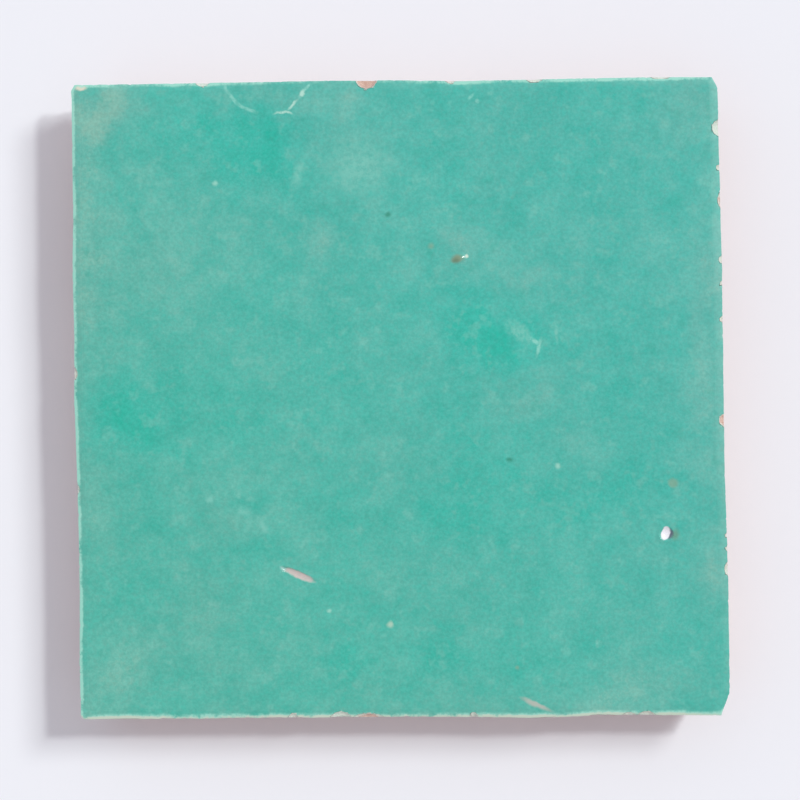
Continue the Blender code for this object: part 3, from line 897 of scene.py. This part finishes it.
# Noise is read this far off, because it makes rays round the point where all its sizes meet
FAR = (0.313, 0.177, 0.0517)

# The colours of the glaze from teal to greyish mint, of the slip and of the clay, and the glaze's
# tint from the south-west to the north-east corner, each by its place on a ramp
GLAZE_RAMP = (
    (0.0, srgb(30, 181, 160)),
    (0.28, srgb(60, 182, 166)),
    (0.50, srgb(81, 182, 168)),
    (0.75, srgb(103, 183, 170)),
    (1.0, srgb(130, 186, 171)),
)
NORTH_EAST_TINT = ((0.0, (1.0, 0.993, 0.963, 1.0)), (1.0, (1.0, 1.005, 1.035, 1.0)))
SLIP_RAMP = ((0.3, srgb(208, 204, 194)), (0.5, srgb(210, 218, 207)), (0.7, srgb(208, 226, 216)))
CLAY_RAMP = (
    (0.28, srgb(196, 157, 142)),
    (0.46, srgb(206, 170, 156)),
    (0.60, srgb(214, 182, 168)),
    (0.75, srgb(223, 200, 188)),
)
MINT = srgb(162, 224, 208)
CREAM = srgb(204, 212, 196)


def glaze_colour(nodes, flat, far, from_rim):
    """The glaze: slow patches, mottling at every scale, a bluer tint towards the north-east, and painted
    shade towards its rim.
    """
    tone = nodes.attribute("tone")
    mottle = nodes.noise(far, 10 * MM, 6.0, 0.88)["Fac"]
    tone = nodes.math("ADD", nodes.fade(mottle, 0.1, 0.9, 0.15, 0.85), tone)
    base = nodes.ramp(tone, GLAZE_RAMP)
    here = nodes.add("SeparateXYZ", {0: flat}).outputs
    north_east = nodes.fade(nodes.math("ADD", here["X"], here["Y"]), -80 * MM, 80 * MM)
    tint = nodes.ramp(north_east, NORTH_EAST_TINT)
    base = nodes.colour(1.0, base, tint, "MULTIPLY")
    dabs = nodes.noise(far, 2.3 * MM, 2.0, 0.62)["Fac"]
    base = nodes.paint(base, nodes.fade(dabs, 0.54, 0.72), 0.32, srgb(124, 193, 179))
    base = nodes.paint(base, nodes.fade(dabs, 0.42, 0.28), 0.30, srgb(54, 170, 152))
    clouds = nodes.noise(far, 5 * MM, 1.0, 0.6)["Fac"]
    grain = nodes.noise(far, 0.6 * MM, 1.0, 0.9)["Fac"]
    shade = nodes.fade(clouds, 0.2, 0.8, 0.965, 1.035)
    shade = nodes.times(shade, nodes.fade(grain, 0.2, 0.8, 0.92, 1.08))
    # Painted shade: the glaze darkens by up to 6% within 1.8 mm of its rim, against the lamp light that
    # its rounded rim catches
    shade = nodes.times(shade, nodes.fade(from_rim, 0.0, 1.8, 0.94, 1.0))
    return nodes.colour(1.0, base, shade, "MULTIPLY")


# The marks in the glaze, in the order they are painted, among them a painted highlight on the nib and a
# painted highlight
# and shadow in the bubble: a colour, its strength, the share of it that patches of wear leave, then
# ellipses (their middles and half sizes in millimetres, turns in degrees and cores) and discs (their
# middles, radii and cores)
MARKS = (
    (
        srgb(128, 202, 188), 0.66, 0.35,
        (
            (-6, 36.5, 7.5, 6.5, 0, 0.1),
            (18.8, 10.3, 3.6, 1.7, -38, 0.3),
            (-15.4, 35.7, 4.4, 1.25, 68),
            (24.6, 10, 2.2, 0.5, 92),
            (-24.9, -17, 2.6, 1.2, -20),
            (-21.6, -19.5, 2.4, 1, -52),
            (30.3, -38.5, 0.5, 0.9),
        ),
        ((-29.8, -15.2, 0.9), (-25.5, -14.5, 0.8), (29.8, 31.8, 0.75), (46.8, -5.8, 0.8)),
    ),
    (
        srgb(156, 222, 208), 0.66, 0.35,
        (
            (-13.8, 49.2, 1.3, 0.38, 48, 0.2),
            (21.3, 8.8, 1.5, 0.55, -36, 0.3),
            (21.8, 8, 1.9, 0.52, 75, 0.3),
            (11.7, 47.3, 0.9, 0.45, 32),
        ),
        ((12.8, 46.5, 0.5),),
    ),
    (
        srgb(160, 216, 200), 0.75, 1,
        (),
        ((-28.5, 34.2, 0.6, 0.15), (24.5, -10.7, 0.7, 0.15), (-11.6, -32.9, 0.55, 0.15)),
    ),
    (
        srgb(190, 230, 216), 0.85, 0.35,
        (
            (-17.9, 45.2, 1.6, 0.36, 6, 0.2),
            (-16.9, 45.2, 1.1, 0.30, -18, 0.2),
            (-16.2, 46.4, 1.6, 0.34, 44, 0.2),
            (-14.8, 48.1, 1.1, 0.48, 57, 0.3),
        ),
        (),
    ),
    (srgb(186, 214, 194), 0.75, 1, (), ((-2, -35.1, 0.75, 0.2),)),
    (srgb(192, 188, 180), 0.80, 1, ((20.6, -47.9, 3.3, 0.55, -25, 0.3),), ()),
    (srgb(138, 165, 140), 0.62, 1, (), ((42.5, -13.6, 1.1, 0.3), (5.2, 24, 0.8), (17.7, -42.1, 0.5))),
    (srgb(48, 140, 118), 0.80, 1, ((-1.5, 29, 0.8, 0.6, 0, 0.1), (16.9, -9.6, 0.85, 0.65, 0, 0.1)), ()),
    (srgb(132, 146, 118), 0.85, 1, ((9.2, 21.95, 1.45, 1, 18, 0.25),), ()),
    (srgb(96, 130, 106), 0.50, 1, ((9, 21.7, 0.85, 0.6, 18, 0.1),), ()),
    # Painted highlight: the white glint at the east end of the nib
    (srgb(222, 236, 220), 0.85, 1, (), ((10.7, 22.3, 0.5, 0.2),)),
    (srgb(106, 150, 128), 0.75, 1, ((42.75, -21.65, 1, 1.25, 0, 0.2),), ()),
    # Painted shadow: the dark crescent on the bubble's shaded east wall
    (srgb(104, 106, 128), 0.90, 1, ((41.95, -21.55, 0.62, 1, -15, 0.45),), ()),
    # Painted highlight: the white where the bubble's west wall mirrors the lamps
    (srgb(246, 243, 252), 1, 1, ((41.25, -21.45, 0.86, 1.22, -15, 0.72),), ()),
    (srgb(206, 191, 188), 1, 0.85, ((-16.22, -27.12, 3.15, 0.68, -24, 0.55),), ()),
    (srgb(160, 208, 202), 0.7, 1, ((-18.7, -26, 0.75, 0.48, -24, 0.3),), ()),
    (srgb(226, 216, 198), 0.9, 1, ((-49.3, 49.45, 1.3, 0.6, 10, 0.4),), ()),
)
# The pale line that curves down from the north side: its colour and strength, then the middle,
# radius and half width of a ring, and the ellipse that it is seen in
ARC = (srgb(156, 222, 208), 0.55, (-20.35, 52.0, 6.85, 0.36), (-24.6, 47.3, 4.3, 2.6, -48, 0.6))


def paint_marks(nodes, flat, far, colour):
    """The marks in the glaze: pale specks and scratches, dark and brownish spots, its flaws, and painted
    highlights and shadow on the nib and bubble.
    """
    loose = nodes.warp(flat, far, 1.4 * MM, 0.7 * MM)
    wear = nodes.noise(far, 1.0 * MM, 2.0, 0.7)["Fac"]
    paint, strength, ring, window = ARC
    arc = nodes.times(nodes.arc(loose, *ring, window), nodes.fade(wear, 0.35, 0.62, 0.4, 1.0))
    colour = nodes.paint(colour, arc, strength, paint)
    for paint, strength, left, ellipses, discs in MARKS:
        masks = [nodes.ellipse(loose, *spot) for spot in ellipses]
        masks += [nodes.disc(loose, *spot) for spot in discs]
        mask = functools.reduce(lambda one, other: nodes.math("MAXIMUM", one, other), masks)
        if left < 1:
            mask = nodes.times(mask, nodes.fade(wear, 0.35, 0.62, left, 1.0))
        colour = nodes.paint(colour, mask, strength, paint)
    return colour


def clay_colour(nodes, far, hollow):
    """The broken clay: salmon with grit, and painted light and shade that follow its relief: paler on its
    ridges, darker and redder in its hollows.
    """
    clouds = nodes.noise(far, 6 * MM, 4.0, 0.65)["Fac"]
    base = nodes.ramp(clouds, CLAY_RAMP)
    # Painted shade in the clay's hollows and painted light on its ridges, by how much deeper each point
    # was sunk than those round it
    base = nodes.paint(base, nodes.fade(hollow, 0.02, 0.18), 0.5, srgb(182, 136, 119))
    base = nodes.paint(base, nodes.fade(hollow, -0.02, -0.14), 0.55, srgb(232, 210, 193))
    grains = nodes.noise(far, 0.5 * MM, 2.0, 0.75)
    grain = grains["Fac"]
    base = nodes.paint(base, nodes.fade(grain, 0.52, 0.72), 0.5, srgb(174, 126, 108))
    base = nodes.paint(base, nodes.fade(grain, 0.46, 0.28), 0.5, srgb(236, 214, 197))
    push = nodes.vector("MULTIPLY", grains["Color"], (0.8 * MM, 0.8 * MM, 0.8 * MM))
    uneven = nodes.vector("ADD", far, push)
    gritty = nodes.add("TexVoronoi", {"Vector": uneven, "Scale": 1 / (1.3 * MM)})
    kind = nodes.add("SeparateColor", {0: gritty.outputs["Color"]}).outputs
    from_edge = nodes.math("MULTIPLY_ADD", kind[2], -0.16, gritty.outputs["Distance"])
    grit = nodes.fade(from_edge, 0.02, 0.10, 1.0, 0.0)
    pale = nodes.times(grit, nodes.fade(kind[0], 0.78, 0.80))
    dark = nodes.times(grit, nodes.fade(kind[1], 0.84, 0.86))
    base = nodes.paint(base, pale, 0.85, srgb(250, 238, 220))
    return nodes.paint(base, dark, 0.75, srgb(126, 82, 66))


def tile_material():
    """The glaze, the pale slip under it and the clay, as one material that follows the depth."""
    material = bpy.data.materials.new("glazed_clay")
    nodes = Nodes(material)
    place = nodes.add("TexCoord").outputs["Object"]
    flat = nodes.vector("MULTIPLY", place, (1.0, 1.0, 0.0))
    far = nodes.vector("ADD", place, FAR)
    below_skin = nodes.attribute("below_skin")
    from_rim = nodes.attribute("from_rim")
    hollow = nodes.attribute("hollow")

    ragged = nodes.math("SUBTRACT", nodes.noise(far, 0.55 * MM, 3.0, 0.65)["Fac"], 0.5)
    slow = nodes.math("SUBTRACT", nodes.noise(far, 3.2 * MM, 2.0, 0.5)["Fac"], 0.5)
    share = nodes.math("MULTIPLY_ADD", ragged, 1.6, nodes.math("MULTIPLY_ADD", slow, 1.4, 1.0))
    depth = nodes.times(below_skin, share)
    broken = nodes.fade(depth, 0.08, 0.15)
    bare = nodes.fade(depth, 0.36, 0.50)

    glaze = glaze_colour(nodes, flat, far, from_rim)
    glaze = paint_marks(nodes, flat, far, glaze)
    uneven = nodes.math("MULTIPLY_ADD", ragged, 2.0, nodes.math("MULTIPLY_ADD", slow, 2.6, 1.0))
    for name, colour in (("mint_rim", MINT), ("cream_rim", CREAM)):
        thin = nodes.fade(nodes.times(nodes.attribute(name), uneven), 0.10, 0.75)
        glaze = nodes.paint(glaze, thin, 0.85, colour)

    slip = nodes.ramp(nodes.noise(far, 1.4 * MM, 3.0, 0.6)["Fac"], SLIP_RAMP)
    clay = clay_colour(nodes, far, hollow)
    clay = nodes.paint(clay, nodes.fade(depth, 1.6, 0.5), 0.6, srgb(208, 182, 172))
    colour = nodes.colour(bare, nodes.colour(broken, glaze, slip), clay)

    smudges = nodes.noise(far, 9 * MM, 3.0, 0.6)["Fac"]
    gloss = nodes.fade(smudges, 0.3, 0.7, 0.11, 0.22)
    gloss = nodes.math("MAXIMUM", gloss, nodes.fade(from_rim, 2.4, 0.6, 0.0, 0.45))
    matt = nodes.math("MAXIMUM", nodes.times(broken, 0.62), nodes.times(bare, 0.93))
    roughness = nodes.math("MAXIMUM", gloss, matt)

    crumbs = nodes.noise(far, 1.3 * MM, 3.0, 0.75)["Fac"]
    peel = nodes.times(nodes.noise(far, 1.8 * MM, 1.0, 0.5)["Fac"], 0.010 * MM)
    rough = nodes.fade(below_skin, 0.05, 0.20)
    height = nodes.math("MULTIPLY_ADD", nodes.times(crumbs, 0.42 * MM), rough, peel)
    bump = nodes.add("Bump", {"Height": height, "Distance": 1.0})

    inputs = {"Base Color": colour, "Roughness": roughness, "Normal": bump.outputs["Normal"]}
    shader = nodes.add("BsdfPrincipled", inputs)
    nodes.add("OutputMaterial", {"Surface": shader.outputs[0]})
    return material


def add_object(name, data):
    """Adds an object to the scene."""
    item = bpy.data.objects.new(name, data)
    bpy.context.scene.collection.objects.link(item)
    return item


def add_tile():
    """The tile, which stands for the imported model's one solid."""
    tile = add_object("glazed_tile", tile_mesh())
    tile.data.materials.append(tile_material())
    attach(tile, "root")
    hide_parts("zellige_tile")


# The light, measured in the photograph's shadows. Each lamp has the way to it, its width and its
# share of the lamps' light. A sky gives the light left in the shadows: its mean colour, and how
# much brighter it is to the west and dimmer to the south, as shares of that
LAMPS = (
    ("key_lamp", Vector((0.62, 0.36, 1.0)), math.radians(5.5), 0.47),
    ("soft_lamp", Vector((0.84, 0.57, 1.0)), math.radians(15.0), 0.53),
)
SHADE = (0.562, 0.542, 0.562)
WEST_TILT = (0.14, 0.26, 0.28)
SOUTH_TILT = (0.13, 0.17, 0.20)
FLOOR_COLOUR = (0.868, 0.876, 0.941, 1.0)
FLOOR_SIZE = 12.0


def add_floor():
    """A plain pale floor."""
    bpy.ops.mesh.primitive_plane_add(size=FLOOR_SIZE)
    floor = bpy.context.object
    floor.name = "floor"
    material = bpy.data.materials.new("pale_floor")
    nodes = Nodes(material)
    shader = nodes.add("BsdfDiffuse", {"Color": FLOOR_COLOUR})
    nodes.add("OutputMaterial", {"Surface": shader.outputs[0]})
    floor.data.materials.append(material)


def add_lights():
    """Two lamps from the east, and a sky that gives the light left in the shadows."""
    direct = [1 - value for value in SHADE]
    for name, way, angle, share in LAMPS:
        lamp = bpy.data.lights.new(name, "SUN")
        lamp.energy = math.pi * max(direct) * share / way.normalized().z
        lamp.color = [value / max(direct) for value in direct]
        lamp.angle = angle
        sun = add_object(name, lamp)
        sun.rotation_mode = "QUATERNION"
        sun.rotation_quaternion = way.to_track_quat("Z", "Y")

    world = bpy.data.worlds.new("studio")
    bpy.context.scene.world = world
    nodes = Nodes(world)
    way = nodes.add("TexCoord").outputs["Generated"]
    split = nodes.add("SeparateXYZ", {0: way}).outputs
    parts = []
    for mean, west, south in zip(SHADE, WEST_TILT, SOUTH_TILT):
        part = nodes.math("MULTIPLY_ADD", split["X"], -mean * west, mean)
        parts.append(nodes.math("MULTIPLY_ADD", split["Y"], mean * south, part))
    shade = nodes.add("CombineColor", dict(enumerate(parts))).outputs[0]
    mirrored = nodes.ramp(split["Z"], ((0.0, (0.92, 0.93, 0.96, 1.0)), (0.75, (0.52, 0.53, 0.55, 1.0))))
    path = nodes.add("LightPath").outputs
    seen = nodes.colour(path["Is Camera Ray"], mirrored, FLOOR_COLOUR)
    shown = nodes.math("MAXIMUM", path["Is Camera Ray"], path["Is Glossy Ray"])
    shown = nodes.math("MAXIMUM", shown, path["Is Transmission Ray"])
    light = nodes.colour(shown, shade, seen)
    background = nodes.add("Background", {"Color": light})
    nodes.add("OutputWorld", {"Surface": background.outputs[0]})


# The camera looks straight down, turned a little, as the tile lies in the photograph
CAMERA_HEIGHT = 0.505
VIEW_WIDTH = 0.125
CAMERA_TURN = math.radians(-0.8)


def add_camera():
    """A camera straight above the tile."""
    low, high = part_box("zellige_tile")
    lens = bpy.data.cameras.new("camera")
    lens.angle = 2 * math.atan(VIEW_WIDTH / 2 / CAMERA_HEIGHT)
    camera = add_object("camera", lens)
    camera.location = ((low[0] + high[0]) / 2, (low[1] + high[1]) / 2, high[2] + CAMERA_HEIGHT)
    camera.rotation_euler = (0.0, 0.0, CAMERA_TURN)
    bpy.context.scene.camera = camera


add_tile()
add_floor()
add_lights()
add_camera()
bpy.context.scene.view_settings.view_transform = "Standard"
